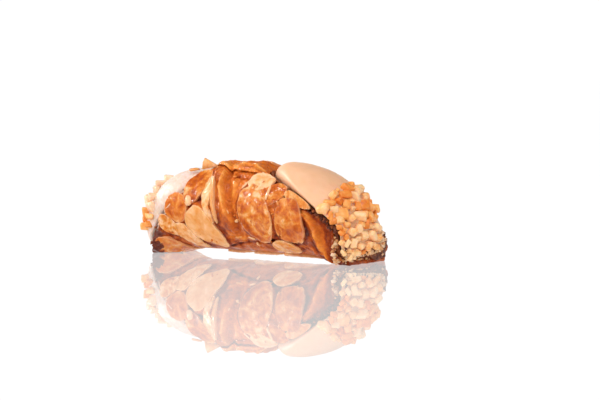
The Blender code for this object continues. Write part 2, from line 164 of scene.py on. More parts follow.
# Cream: how far its ends stand out, and how full it is at the foot and top of each mouth
RIGHT_CREAM_END = 44.2 * MM
LEFT_CREAM_END = -51.4 * MM
CREAM_TIP_HEIGHT = 11.0 * MM
RIGHT_CREAM_FOOT = 12.2 * MM
RIGHT_CREAM_TOP = 17.4 * MM
RIGHT_CREAM_FAR_SLACK = 2.8 * MM
LEFT_CREAM_FOOT = 12.0 * MM
LEFT_CREAM_TOP = 14.3 * MM
RIGHT_DOME_POWER = 2.7
LEFT_DOME_POWER = 3.0
CREAM_SHOULDER_SIDE = 1.6 * MM
CREAM_SHOULDER_TOP = 8.0 * MM

# Chopped nuts on the ends of the cream
NUT_SIZE = (3.0 * MM, 4.8 * MM)
NUT_PROUD = 0.1
NUT_CROWDING = 0.42
NUT_CLEAR = 0.78
NUT_SEED = 6
RIGHT_NUTS_FROM = 37.0 * MM
LEFT_NUTS_FROM = -43.5 * MM
LEFT_NUTS_LOWEST = 9.0 * MM
RIGHT_BARE_BEYOND = 7.0 * MM
RIGHT_BARE_BELOW = 17.0 * MM
NUTS_PER_END = 52
NUT_TRIES = 200
LEFT_COATED_ABOVE = 17.0 * MM
LEFT_COATING = 0.7
FILLER_SIZE = (2.0 * MM, 3.4 * MM)
FILLER_CROWDING = 0.37
FILLER_CLEAR = 0.6
RIGHT_FILLERS = 40
LEFT_FILLERS = 5
CRUMB_SIZE = (0.5 * MM, 1.5 * MM)
RIGHT_CRUMBS = 620
LEFT_CRUMBS = 60
CRUMBS_ON_LIP = 0.62
CRUST_ANGLES = (-26.0, 66.0)
CREAM_CRUMB_ANGLES = (-62.0, 55.0)
CRUMB_SEED = 23

# The photographed view
CAMERA_AZIMUTH = 38.0
CAMERA_ELEVATION = 4.4
CAMERA_ROLL = -0.6
LENS = 120.0
SENSOR = 36.0
PHOTO_SIZE = (600.0, 400.0)
ANCHOR = Vector((43.5 * MM, 0.0, 0.0))
ANCHOR_PIXEL = (364.0, 264.5)
ANCHOR_DEPTH = 693.2 * MM

CHOCOLATE_LEFT_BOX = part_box("chocolate_rim_left")
SHIFT = Vector(
    (
        CHOCOLATE_LEFT_BOX[0].x - (LEFT_RIM_FOOT - GAP - CHOCOLATE_LIP),
        (CHOCOLATE_LEFT_BOX[0].y + CHOCOLATE_LEFT_BOX[1].y) / 2.0,
        0.0,
    )
)


def smooth(value):
    """0 below 0, 1 above 1 and an even ramp between."""
    value = np.clip(value, 0.0, 1.0)
    return value * value * (3.0 - 2.0 * value)


def mix(low, high, part):
    return low + (high - low) * part


def near(value, centre, half_width):
    """1 at the centre and 0 from half_width away, on a smooth bump."""
    return smooth(1.0 - np.abs(value - centre) / half_width)


def roughly(points, size, seed=0.0, octaves=1):
    """Noise of about this feature size at each point, from about -1 to 1."""
    points = np.asarray(points)
    places = (points.reshape(-1, 3) / size + seed).tolist()
    if octaves == 1:
        values = [noise.noise(spot) for spot in places]
    else:
        values = [noise.fractal(spot, 1.0, 2.1, octaves) for spot in places]
    return np.array(values).reshape(points.shape[:-1])


def cos_of(degrees):
    return np.cos(np.radians(degrees))


def sin_of(degrees):
    return np.sin(np.radians(degrees))


def height_part(angle):
    """0 at the foot of the tube and 1 at its top."""
    return (1.0 - cos_of(angle)) / 2.0


def degrees_from(angle, centre=0.0):
    """How far round an angle is from the centre, from -180 to 180."""
    return (angle - centre + 180.0) % 360.0 - 180.0


def right_rim(angle):
    """Where the right mouth's rim stands along X at this angle."""
    aside = sin_of(angle)
    upright = mix(RIGHT_RIM_UPRIGHT, RIGHT_RIM_UPRIGHT_FAR, smooth(0.5 - 1.5 * aside))
    rise = np.maximum(0.0, (height_part(angle) - upright) / (1.0 - upright))
    skew = RIGHT_RIM_SKEW * aside * (1.0 - rise)
    return mix(RIGHT_RIM_FOOT, RIGHT_RIM_TOP, rise**RIGHT_RIM_CURVE) - skew


def left_rim(angle):
    return mix(LEFT_RIM_FOOT, LEFT_RIM_TOP, height_part(angle))


def past_rim(rim, outward, angle, distance):
    """Where along X a place stands that is this far out of a mouth, square to its rim."""
    turn = math.radians(1.0)
    slope = (rim(angle + 1.0) - rim(angle - 1.0)) / (2.0 * turn * TUBE_RADIUS)
    return rim(angle) + outward * (distance * np.hypot(1.0, slope))


def lip_shape(angle, x):
    """How much further out than round the section stands at this place, low down at the ends."""
    down = cos_of(angle)
    below = np.maximum(down, 1e-6)
    right = smooth((x - RIGHT_LIP_START) / (RIGHT_RIM_FOOT - RIGHT_LIP_START))
    left = smooth((x - LEFT_LIP_START) / (LEFT_RIM_FOOT - LEFT_LIP_START))
    power = np.where(x > 0.0, RIGHT_LIP_POWER, LEFT_LIP_POWER)
    amount = np.where(x > 0.0, right, left)
    across = np.abs(sin_of(angle))
    square = (across**power + below**power) ** (-1.0 / power)
    widen = mix(1.0, square, amount * smooth(down * 3.0))
    return widen, 1.0 + LIP_DROP * amount * smooth(down * 2.0)


def points_at(x, y, z):
    return np.stack(np.broadcast_arrays(x, y, z), axis=-1)


def place(x, angle, radius):
    """The points at this distance from the axis; nothing lies below the table."""
    widen, drop = lip_shape(angle, x)
    turn = np.radians(angle)
    down = radius * widen * np.cos(turn) * drop
    return points_at(x, -radius * widen * np.sin(turn), np.maximum(0.0, AXIS_HEIGHT - down))


def spot_at(x, angle, radius):
    return Vector(place(x, angle, radius))


def off_foot(angle):
    """0 on the underside, which stays smooth, and 1 elsewhere."""
    return 1.0 - smooth(cos_of(angle) * 4.0 - 3.0)


def flap_angle(along):
    return mix(FLAP_ANGLE_LEFT, FLAP_ANGLE_RIGHT, along)


def fold_relief(x, angle):
    """The height of the fold and of the groove beside it, which fade past the fold's two ends."""
    drop = (FOLD_TOP[1] - angle % 360.0) / (FOLD_TOP[1] - FOLD_LOW[1])
    reach = smooth((drop + FOLD_PAST_TOP) * 3.0) * smooth((FOLD_PAST_LOW - drop) * 3.0)
    centre = mix(FOLD_TOP[0], FOLD_LOW[0], drop)
    ridge = FOLD_HEIGHT * smooth(1.6 - 1.6 * np.abs(x - centre) / FOLD_HALF_WIDTH)
    groove = GROOVE_DEPTH * near(x, centre + GROOVE_OFFSET, GROOVE_HALF_WIDTH * 2.0)
    return reach * (ridge - groove)


# Folds and dents of the near side, as lines on the unrolled tube: places (along, angle), half width
# and height, all in millimetres and degrees
CREASES = (
    (((28.4, 96), (32.4, 78), (35, 58), (37.5, 34)), 1.5, 0.8),
    (((25.5, 93), (29.2, 76), (31.8, 56), (34.5, 34)), 2.2, -0.6),
    (((20.5, 110), (26, 104), (32, 96)), 1, -0.9),
    (((-21.5, 103), (-17, 106)), 1.7, -1.1),
    (((-25, 101), (-21, 88)), 1.6, -0.6),
    (((9.6, 48), (12.6, 52)), 1.4, -1.7),
    (((-9, 33), (2, 44), (9, 48)), 1, -0.7),
    (((12.6, 52), (20, 50), (28, 42)), 1, -0.7),
    (((-6, 60), (0, 52), (4, 55)), 1.4, 0.5),
    (((-11.4, 148), (-9.6, 122), (-6.6, 98), (-3.4, 77)), 1.1, 0.75),
    (((-17.4, 150), (-16.6, 128)), 1, -0.7),
    (((-5, 143), (2, 138)), 1.8, -0.6),
    (((-4, 128), (-3, 112)), 1.3, 0.5),
    (((-7, 166), (4, 158)), 1.2, 0.5),
)


def crease_relief(x, angle):
    """The height of the creases at places on the tube."""
    arc = TUBE_RADIUS * np.radians(angle % 360.0)
    relief = np.zeros(np.broadcast(x, angle).shape)
    for line, half_width, height in CREASES:
        nearest = np.full(relief.shape, np.inf)
        for (x1, angle1), (x2, angle2) in zip(line, line[1:]):
            start = np.array((x1 * MM, TUBE_RADIUS * math.radians(angle1)))
            step = np.array((x2 * MM, TUBE_RADIUS * math.radians(angle2))) - start
            part = ((x - start[0]) * step[0] + (arc - start[1]) * step[1]) / (step @ step)
            part = np.clip(part, 0.0, 1.0)
            gap = np.hypot(x - start[0] - part * step[0], arc - start[1] - part * step[1])
            nearest = np.minimum(nearest, gap)
        relief += height * MM * smooth(1.0 - nearest / (half_width * MM))
    return relief


def slice_fields(x, angle):
    """How far outside the nearest slice of the near side each place lies, negative within it."""
    nearest = np.full(np.broadcast(x, angle).shape, np.inf)
    for row in NEAR_SLICES:
        row_x, row_angle, heading, length, width, _, squareness, taper = row[:8]
        turn = math.radians(heading)
        across = x - row_x * MM
        arc = TUBE_RADIUS * np.radians(degrees_from(angle, row_angle))
        forward = (across * math.cos(turn) + arc * math.sin(turn)) / (length / 2.0 * MM)
        side = (arc * math.cos(turn) - across * math.sin(turn)) / (width / 2.0 * MM)
        side = side / (1.0 - taper * np.clip(forward, -1.0, 1.0))
        reach = (np.abs(forward) ** squareness + np.abs(side) ** squareness) ** (1.0 / squareness)
        nearest = np.minimum(nearest, (reach - 1.0) * (width / 2.0 * MM))
    return nearest


def outer_radius(x, angle, along, turned=None):
    """The tube's outer radius with its overlap, fold, layer end and lumps."""
    if turned is None:
        turned = (angle - flap_angle(along)) % 360.0
    ends = smooth(along / FLAP_ENDS) * smooth((1.0 - along) / FLAP_ENDS)
    flap = FLAP_THICKNESS * smooth(1.0 - turned / FLAP_FADE) * ends
    by_rim = smooth((along - 1.0 + RIM_TOP_REACH) / RIM_TOP_REACH)
    top = smooth((height_part(angle) - RIM_TOP_PART) * 5.0) * by_rim
    facing = smooth((cos_of(angle - LAYER_END_ANGLE) - 0.5) * 4.0)
    layer_end = smooth((along - LAYER_END) / LAYER_END_STEP) * facing
    where = place(x, angle, TUBE_RADIUS)
    lump = roughly(where, LUMP_SIZE) + 0.5 * roughly(where, LUMP_SIZE / 2.3)
    relief = fold_relief(x, angle) + LUMP_HEIGHT * lump * off_foot(angle)
    return TUBE_RADIUS + flap + relief - LAYER_DROP * layer_end - RIM_TOP_DROP * top


def add_object(name, data):
    made = bpy.data.objects.new(name, data)
    bpy.context.scene.collection.objects.link(made)
    return made


def make_piece(name, points, faces, attributes=None):
    """A shaded piece of the object from points in the tube's own frame."""
    data = bpy.data.meshes.new(name)
    data.from_pydata((points.reshape(-1, 3) + np.array(SHIFT)).tolist(), [], faces)
    for label, values in (attributes or {}).items():
        layer = data.attributes.new(label, "FLOAT", "POINT")
        layer.data.foreach_set("value", np.asarray(values, np.float32).ravel())
    mesh = bmesh.new()
    mesh.from_mesh(data)
    bmesh.ops.recalc_face_normals(mesh, faces=mesh.faces)
    mesh.to_mesh(data)
    mesh.free()
    data.shade_smooth()
    piece = add_object(name, data)
    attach(piece, "root")
    return piece


def grid_faces(rows, columns, close_rows=False):
    """Quads of a grid whose columns run round."""
    last = rows if close_rows else rows - 1
    row = np.arange(last)[:, None]
    column = np.arange(columns)[None, :]
    after_row = (row + 1) % rows
    after_column = (column + 1) % columns
    corners = (
        row * columns + column,
        row * columns + after_column,
        after_row * columns + after_column,
        after_row * columns + column,
    )
    return np.stack(np.broadcast_arrays(*corners), axis=-1).reshape(-1, 4).tolist()


def hull(corners, worn=0.0):
    """Points and faces of the smallest block round these corners, with edges worn off this far."""
    mesh = bmesh.new()
    for corner in corners:
        mesh.verts.new(corner)
    found = bmesh.ops.convex_hull(mesh, input=mesh.verts)
    inner = [item for item in found["geom_interior"] if isinstance(item, bmesh.types.BMVert)]
    bmesh.ops.delete(mesh, geom=inner, context="VERTS")
    if worn:
        edges = list(mesh.edges)
        bmesh.ops.bevel(
            mesh, geom=edges, offset=worn, segments=3, profile=0.5, affect="EDGES", clamp_overlap=True
        )
    mesh.verts.index_update()
    points = np.array([vert.co for vert in mesh.verts])
    faces = [[vert.index for vert in face.verts] for face in mesh.faces]
    mesh.free()
    return points, faces


class Heap:
    """Many small closed meshes that become one piece."""

    def __init__(self, labels):
        self.points = []
        self.faces = []
        self.values = {label: [] for label in labels}
        self.count = 0

    def add(self, points, faces, **values):
        self.points.append(points)
        self.faces.extend([[index + self.count for index in face] for face in faces])
        for label, value in values.items():
            self.values[label].append(np.broadcast_to(value, len(points)))
        self.count += len(points)

    def piece(self, name):
        attributes = {label: np.concatenate(values) for label, values in self.values.items()}
        return make_piece(name, np.concatenate(self.points), self.faces, attributes)


# The pastry tube

SHELL_LENGTH_STEPS = 240
SHELL_ROUND_STEPS = 300
SHELL_INNER_STEPS = 14

# The overlap's free edge in section, with the share of its thickness at each place: its underside,
# as parts of the undercut, and its rounded nose, as degrees round
FLAP_UNDERSIDE = ((0.2, 0.0), (0.5, 0.0), (0.8, 0.0), (0.9, 0.2), (0.5, 0.34))
FLAP_NOSE = ((359.6, 0.36), (358.4, 0.46), (357.9, 0.6), (358.1, 0.76), (358.9, 0.9))
FLAP_LIP_WIDTH = 7.0
FLAP_RAGGED_FADE = 40.0

# Torn layers that show as strands just behind the overlap's edge
STRAND_HEIGHT = 0.16 * MM
STRAND_BAND = (9.0, 14.0)

# Glaze pooled round the slices, and chocolate smeared on the outside of the left lip
POOL_HEIGHT = 0.42 * MM
POOL_REACH = 1.4 * MM
SMEAR_HEIGHT = 0.5 * MM
SMEAR_SIDE = (10.0, 62.0, 5.0 * MM)
SMEAR_UNDER = (0.0, 34.0, 8.5 * MM)
SMEAR_FADE = 20.0
SMEAR_RAGGED = 2.4 * MM
SMEAR_RAGGED_SIZE = 3.0 * MM
SMEAR_BLUR = 0.8 * MM

# How pale the pastry is baked on plain skin and inside
BAKED = 0.6
BAKED_INSIDE = 0.3

# The hollow under the overlap, and the hole between the low slices, both darkened with painted shade:
# place and half width, each along the tube and round it
HOLLOW = (-1.5 * MM, 8.5 * MM, 139.0, 26.0)
HOLE = (11.4 * MM, 3.2 * MM, 49.0, 9.0)


def shell_ring():
    """Turns from the overlap's free edge once round and back under it, with a share of its thickness."""
    turns = [(turn, 0.0) for turn in np.linspace(0.8, 359.5, SHELL_ROUND_STEPS)]
    underside = [(360.0 + FLAP_UNDERCUT * part, share) for part, share in FLAP_UNDERSIDE]
    return np.array(turns + underside + list(FLAP_NOSE))


def smear_part(angle, smear):
    centre, half_width, _ = smear
    return smooth((half_width - np.abs(degrees_from(angle, centre))) / SMEAR_FADE)


def smear_cover(x, angle, where):
    """1 where chocolate covers the outside of the left lip, with a ragged edge."""
    reach = sum(smear[2] * smear_part(angle, smear) for smear in (SMEAR_SIDE, SMEAR_UNDER))
    edge = left_rim(angle) + reach + SMEAR_RAGGED * roughly(where, SMEAR_RAGGED_SIZE, 5.0, 3)
    return smooth((edge - x) / SMEAR_BLUR) * (smear_part(angle, SMEAR_SIDE) > 0.0)


def layer_end_band(along, angle):
    """1 on the smooth inner layer that shows between the outer layer's end and the right mouth."""
    past_end = smooth((along - LAYER_END - LAYER_END_STEP) / 0.02)
    return past_end * smooth((sin_of(angle) - 0.1) * 3.0)


def near_place(x, angle, spot):
    return near(x, *spot[:2]) * near(angle, *spot[2:])


def shell_places(turned):
    """Where each point of the outer skin lies: along the tube from 0 to 1, its x and its angle."""
    along = np.linspace(0.0, 1.0, SHELL_LENGTH_STEPS + 1)[:, None]
    wander = points_at(along * 12.0, 0.0, 0.0)
    ragged = FLAP_RAGGED * roughly(wander, 1.0, octaves=3)
    fade = 1.0 - smooth((turned % 360.0) / FLAP_RAGGED_FADE)
    angle = flap_angle(along) + ragged * fade + turned
    x = mix(left_rim(angle), right_rim(angle), along)
    ends = smooth((along - 0.93) / 0.07) - smooth((0.07 - along) / 0.07)
    uneven = roughly(place(x, angle, TUBE_RADIUS), RIM_RAGGED_SIZE, octaves=3)
    return along, x + RIM_RAGGED * ends * uneven, angle


def skin_radius(x, angle, along, turned, share):
    """The outer radius without its fine relief, with the layer below carried on under the overlap."""
    upper = outer_radius(x, angle, along, np.where(share > 0.0, 0.0, turned))
    lower = outer_radius(x, angle, along, 360.0)
    skin = np.where(share > 0.0, mix(lower, upper, share), upper)
    return np.where((turned > 359.9) & (share == 0.0), lower - 0.1 * MM, skin)


def make_shell():
    """The rolled tube: its baked skin from rim to rim, and its plain inside."""
    ring = shell_ring()
    turned, share = ring[None, :, 0], ring[None, :, 1]
    along, x, angle = shell_places(turned)
    where = place(x, angle, TUBE_RADIUS)
    after_edge = turned % 360.0
    on_top = turned < 300.0
    blister = roughly(where, BLISTER_SIZE, 3.0, 2)
    grain = roughly(where, GRAIN_SIZE, 7.0, 2)
    creases = crease_relief(x, angle)
    beside = slice_fields(x, angle)
    smear = smear_cover(x, angle, where)
    pool = POOL_HEIGHT * smooth(1.0 - beside / POOL_REACH) * (turned < 340.0) * (turned > 12.0)
    stretched = points_at(x / (9.0 * MM), np.radians(angle) * 26.0, 0.0)
    strands = STRAND_HEIGHT * near(after_edge, *STRAND_BAND) * on_top * roughly(stretched, 1.0, 11.0, 2)
    lip = FLAP_LIP * smooth(1.0 - after_edge / FLAP_LIP_WIDTH) * on_top
    fine = (BLISTER_HEIGHT * blister + GRAIN_HEIGHT * grain) * (1.0 - 0.6 * smear)
    relief = fine + creases * (turned < 356.0) + pool + SMEAR_HEIGHT * smear
    skin = skin_radius(x, angle, along, turned, share)
    outer = place(x, angle, skin + relief * off_foot(angle) + lip + strands)
    inner_along = (1.0 - np.cos(np.pi * np.linspace(1.0, 0.0, SHELL_INNER_STEPS + 1)[:, None])) / 2.0
    inner_angle = flap_angle(inner_along) + np.minimum(turned, 359.9)
    inner_x = mix(left_rim(inner_angle), right_rim(inner_angle), inner_along)
    inner = place(inner_x, inner_angle, TUBE_RADIUS - WALL)
    points = np.concatenate((outer, inner))
    fold = fold_relief(x, angle) / FOLD_HEIGHT
    nose = smooth(1.0 - after_edge / 24.0) * on_top + (share > 0.3)
    hollow = near_place(x, angle, HOLLOW)
    # What each feature of the skin adds to how pale it is baked, with painted highlight and painted shade
    # that follow its relief
    bake_and_painted_light = BAKED + sum(
        (
            0.1 * blister,
            0.05 * grain,
            # Painted highlight on the fold's ridge and painted shade in its groove
            0.1 * fold,
            # Painted highlight on raised creases and painted shade in dented ones
            0.36 * creases / MM,
            # Painted highlight on the overlap's rounded nose
            0.2 * nose,
            # Painted shade in the hollow under the overlap
            -0.56 * hollow,
            # Darker beside the slices: partly pooled caramel, partly painted shade
            -0.22 * near(beside, 0.5 * MM, 0.9 * MM),
            # Painted shade on the underside
            -0.16 * smooth(cos_of(angle) * 2.0 + 0.3),
            -0.24 * layer_end_band(along, angle),
            # Painted shade in the hole between the low slices
            -1.1 * near_place(x, angle, HOLE),
        )
    )
    wet = 0.8 * hollow + 0.7 * fold + 0.3 * nose
    # Painted highlight along the left rim's edge, where the light from behind catches it
    edge = np.broadcast_to(smooth((0.012 - along) / 0.008), x.shape)
    attributes = {"bake_and_painted_light": bake_and_painted_light, "edge": edge, "smear": smear, "wet": np.clip(wet, 0.0, 1.0)}
    for label, values in attributes.items():
        inside = np.full(inner_x.shape, BAKED_INSIDE if label == "bake_and_painted_light" else 0.0)
        attributes[label] = np.concatenate((values, inside))
    faces = grid_faces(*points.shape[:2], close_rows=True)
    piece = make_piece("pastry_shell", points, faces, attributes)
    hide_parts("shell")
    return piece


# Sliced almonds

SLICE_SEGMENTS = 60
# The section of a slice from its underside round its rim to its middle: shares of its half size and
# of its thickness
SLICE_PROFILE = (
    (0.5, 0.0),
    (0.95, 0.0),
    (0.99, 0.2),
    (1.0, 0.45),
    (1.0, 0.8),
    (0.992, 0.92),
    (0.975, 0.99),
    (0.95, 1.0),
    (0.9, 0.98),
    (0.82, 0.96),
    (0.73, 0.95),
    *((0.64 - 0.09 * step, 0.94) for step in range(7)),
    (0.0, 0.94),
)
SLICE_WRINKLE = 0.2 * MM
SLICE_WRINKLE_SIZE = 1.7 * MM
SLICE_WAVE_SIZE = 4.5 * MM


def add_slice(heap, x, angle, heading, length, width, tilt, squareness, taper, seed, **values):
    """A thin almond slice that follows the tube, sunk a little into it and lifted at one side."""
    turns = np.linspace(0.0, math.tau, SLICE_SEGMENTS, endpoint=False)
    unit = points_at(np.cos(turns), np.sin(turns), seed * 7.3)
    uneven = 1.0 + 0.08 * roughly(unit, 0.7) + 0.055 * roughly(unit, 0.2, 5.0)
    profile = np.array(SLICE_PROFILE)
    size = profile[:, :1] * uneven[None, :]
    lift = profile[:, 1:] * np.ones(SLICE_SEGMENTS)[None, :]
    power = 2.0 / squareness
    ahead = np.sign(np.cos(turns)) * np.abs(np.cos(turns)) ** power
    aside = np.sign(np.sin(turns)) * np.abs(np.sin(turns)) ** power
    forward = length / 2.0 * ahead * size
    side = width / 2.0 * aside * (1.0 - taper * ahead) * size
    points = lay_on_tube(forward, side, lift, x, angle, heading, width, tilt, seed)
    rows, columns = points.shape[:2]
    faces = grid_faces(rows, columns)
    faces.append(list(range(columns)))
    rim = np.repeat(smooth((profile[:, 0] - 0.93) / 0.06), columns)
    heap.add(
        points.reshape(-1, 3),
        faces,
        rim=rim,
        lengthwise=np.ravel(forward) + seed * 0.04,
        crosswise=np.ravel(side) + seed * 0.07,
        **values,
    )


def lay_on_tube(forward, side, lift, x, angle, heading, width, tilt, seed):
    """Lays a slice's points on the tube's skin; the lift is a share of the slice's thickness."""
    turn = math.radians(heading)
    place_x = x + forward * math.cos(turn) - side * math.sin(turn)
    arc = forward * math.sin(turn) + side * math.cos(turn)
    place_angle = angle + np.degrees(arc / TUBE_RADIUS)
    start = left_rim(place_angle)
    along = (place_x - start) / (right_rim(place_angle) - start)
    below = outer_radius(place_x, place_angle, np.minimum(along, LAYER_END))
    base = mix(outer_radius(x, angle, 0.5), below, SLICE_FOLLOWS)
    raised = tilt * MM * (0.5 + side / width) * np.where(lift > 0.0, 1.0, 0.3)
    where = place(place_x, place_angle, base)
    wrinkle = roughly(where, SLICE_WRINKLE_SIZE, seed, 3) + 1.2 * roughly(where, SLICE_WAVE_SIZE, seed)
    radius = base - SLICE_SUNK + SLICE_THICKNESS * lift + raised + SLICE_WRINKLE * lift * wrinkle
    return place(place_x, place_angle, radius)


def make_slices():
    """The slices of the near side by their places, and a scatter over the top and far side."""
    heap = Heap(("tone", "mottled", "rim", "lengthwise", "crosswise"))
    for number, row in enumerate(NEAR_SLICES[:-1]):
        x, angle, heading, length, width, *shape, tone, mottled = row
        shape = (x * MM, angle, heading, length * MM, width * MM, *shape)
        add_slice(heap, *shape, number + 1.0, tone=tone, mottled=mottled)
    dice = random.Random(FAR_SEED)
    tones = random.Random(FAR_SEED + 1)
    taken = [(row[0] * MM, row[1]) for row in NEAR_SLICES]
    for _ in range(FAR_TRIES):
        if len(taken) == len(NEAR_SLICES) + FAR_SLICES:
            break
        angle = dice.uniform(*FAR_SLICE_ANGLES)
        length = dice.uniform(*FAR_SLICE_LENGTH)
        x = dice.uniform(left_rim(angle) + length * 0.55, right_rim(angle) - length * 0.55)
        apart = [math.hypot(x - other, TUBE_RADIUS * math.radians(angle - turn)) for other, turn in taken]
        if min(apart) < FAR_SLICE_SPACING:
            continue
        taken.append((x, angle))
        width = length * dice.uniform(*FAR_SLICE_SHAPE)
        heading = dice.uniform(*FAR_SLICE_HEADINGS)
        tilt = dice.uniform(*FAR_SLICE_TILTS)
        shape = (x, angle, heading, length, width, tilt, FAR_SQUARENESS, FAR_TAPER, len(taken) + 1.0)
        add_slice(heap, *shape, tone=tones.uniform(0.15, 0.75), mottled=tones.uniform(0.3, 1.0))
    piece = heap.piece("almond_slices")
    return piece


# Loose flakes of almond: along, angle, heading, length, width, thickness, lift, in millimetres
# and degrees, and a tone from pale to dark
FLAKES = (
    (13.3, 114.8, -103, 6.2, 1.1, 0.7, 1, 0),
    (4.1, 54.4, -15, 2.9, 0.8, 0.6, 0.4, 0.05),
    (-0.9, 78, 40, 1.7, 1.3, 0.8, 0.4, 0),
    (-27.2, 152, 8, 4.6, 1.8, 0.5, 0.1, 0.35),
    (-13.2, 91, -70, 3.4, 1.4, 0.7, 1, 0.2),
    (1.1, 127, -120, 4.2, 0.8, 0.6, 0.5, 0),
    (-31.2, 57, -60, 4.2, 1.3, 0.6, 0.6, 0.1),
    (-24.4, 59, -52, 3, 1.2, 0.5, 0.7, 0.1),
    (18.2, 103, -60, 2.4, 1, 0.5, 0.7, 0.4),
    (-2.2, 54, 10, 3.6, 1.1, 0.5, 0.2, 0.4),
    (-20.4, 92, -40, 2.6, 1.3, 0.5, 0.5, 0.5),
    (-23, 101, -75, 4, 3, 0.7, 0.9, 0),
)
FLAKE_CORNERS = 9
SCRAPS = 46
SCRAP_ANGLES = (30.0, 330.0)
SCRAP_FREE_ANGLES = (150.0, 200.0)
SCRAP_SIZES = ((0.8, 2.2), (0.5, 1.0), (0.1, 0.5))
SCRAP_THICKNESS = 0.5 * MM
SCRAP_FROM_RIMS = (3.0 * MM, 4.0 * MM)
SCRAP_SEED = 31

# The flake that stands up at the top of the left end: along, angle and height of its corners
STANDING_FLAKE = (
    (-23.6, 152, 0.2),
    (-22.9, 155, 2.7),
    (-22, 157, 4.1),
    (-19.4, 157.5, 2.3),
    (-16.4, 158.5, 0.6),
)
STANDING_THICKNESS = 0.55 * MM


def flake(x, angle, heading, length, width, thickness, lift, dice):
    """A thin uneven plate that lies along the tube's skin."""
    turn = math.radians(heading)
    radius = outer_radius(x, angle, 0.5) + lift
    centre = spot_at(x, angle, radius)
    angle_step = math.degrees(math.sin(turn) * MM / TUBE_RADIUS)
    ahead = (spot_at(x + math.cos(turn) * MM, angle + angle_step, radius) - centre).normalized()
    outward = (spot_at(x, angle, radius + MM) - centre).normalized()
    across = outward.cross(ahead).normalized()
    corners = []
    for step in range(FLAKE_CORNERS):
        around = math.tau * step / FLAKE_CORNERS
        grow = dice.uniform(0.75, 1.1)
        flat = ahead * (math.cos(around) * length / 2.0) + across * (math.sin(around) * width / 2.0)
        for side in (-0.5, 0.5):
            rise = outward * (side * thickness * dice.uniform(0.8, 1.1))
            corners.append(centre + flat * (grow * (1.0 - 0.1 * side)) + rise)
    return hull(corners)


def make_flakes():
    """The small flakes that the near side shows, and tiny scraps stuck in the glaze all round."""
    heap = Heap(("tone", "mottled", "rim", "lengthwise", "crosswise"))
    dice = random.Random(SCRAP_SEED)
    plain = {"mottled": 0.3, "rim": 0.2, "lengthwise": 0.0, "crosswise": 0.0}
    for x, angle, heading, *size, tone in FLAKES:
        size = [value * MM for value in size]
        heap.add(*flake(x * MM, angle, heading, *size, dice), tone=tone, **plain)
    corners = []
    for x, angle, height in STANDING_FLAKE:
        for lean in (0.0, STANDING_THICKNESS):
            corners.append(spot_at(x * MM, angle, TUBE_RADIUS + height * MM) + Vector((0.0, lean, 0.0)))
    heap.add(*hull(corners), tone=0.25, **plain)
    for _ in range(SCRAPS):
        # One in ten lies on the middle of the near side
        angle = dice.uniform(*SCRAP_ANGLES) if dice.random() < 0.9 else 90.0
        if SCRAP_FREE_ANGLES[0] < angle < SCRAP_FREE_ANGLES[1]:
            continue
        start, end = left_rim(angle) + SCRAP_FROM_RIMS[0], right_rim(angle) - SCRAP_FROM_RIMS[1]
        x = mix(start, end, dice.random())
        length, width, lift = (dice.uniform(*limits) * MM for limits in SCRAP_SIZES)
        heading, tone = dice.uniform(-90.0, 90.0), dice.uniform(0.1, 0.8)
        scrap = flake(x, angle, heading, length, width, SCRAP_THICKNESS, lift, dice)
        heap.add(*scrap, tone=tone, **plain)
    piece = heap.piece("almond_flakes")
    return piece


# Chocolate

CHOCOLATE_ROUND_STEPS = 300
CHOCOLATE_LOW_INSET = 1.4 * MM
CHOCOLATE_LOW_ANGLES = (-30.0, 72.0)
CHOCOLATE_PROFILE_STEPS = 44
CHOCOLATE_CRUMB_SIZE = 1.5 * MM
CHOCOLATE_WAVE_SIZE = 3.5 * MM


def chocolate_profile():
    """The section of the chocolate, as distances from the rim and radii, sampled evenly and rounded."""
    inside = TUBE_RADIUS - WALL - GAP
    lining = inside - CHOCOLATE_THICKNESS
    brim = TUBE_RADIUS - CHOCOLATE_LIP_INSET
    lip_end = GAP + CHOCOLATE_LIP
    corners = np.array(
        (
            (-CHOCOLATE_REACH, inside),
            (GAP, inside),
            (GAP, brim),
            (lip_end * 0.7, brim + 0.3 * MM),
            (lip_end, mix(lining, brim, 0.6)),
            (lip_end * 0.8, lining),
            (-CHOCOLATE_REACH, lining + 0.2 * MM),
            (-CHOCOLATE_REACH, inside),
        )
    )
    reach = np.concatenate(((0.0,), np.cumsum(np.hypot(*np.diff(corners, axis=0).T))))
    steps = np.linspace(0.0, reach[-1], CHOCOLATE_PROFILE_STEPS, endpoint=False)
    profile = np.stack([np.interp(steps, reach, corners[:, axis]) for axis in (0, 1)], axis=-1)
    return (np.roll(profile, 1, axis=0) + 2.0 * profile + np.roll(profile, -1, axis=0)) / 4.0


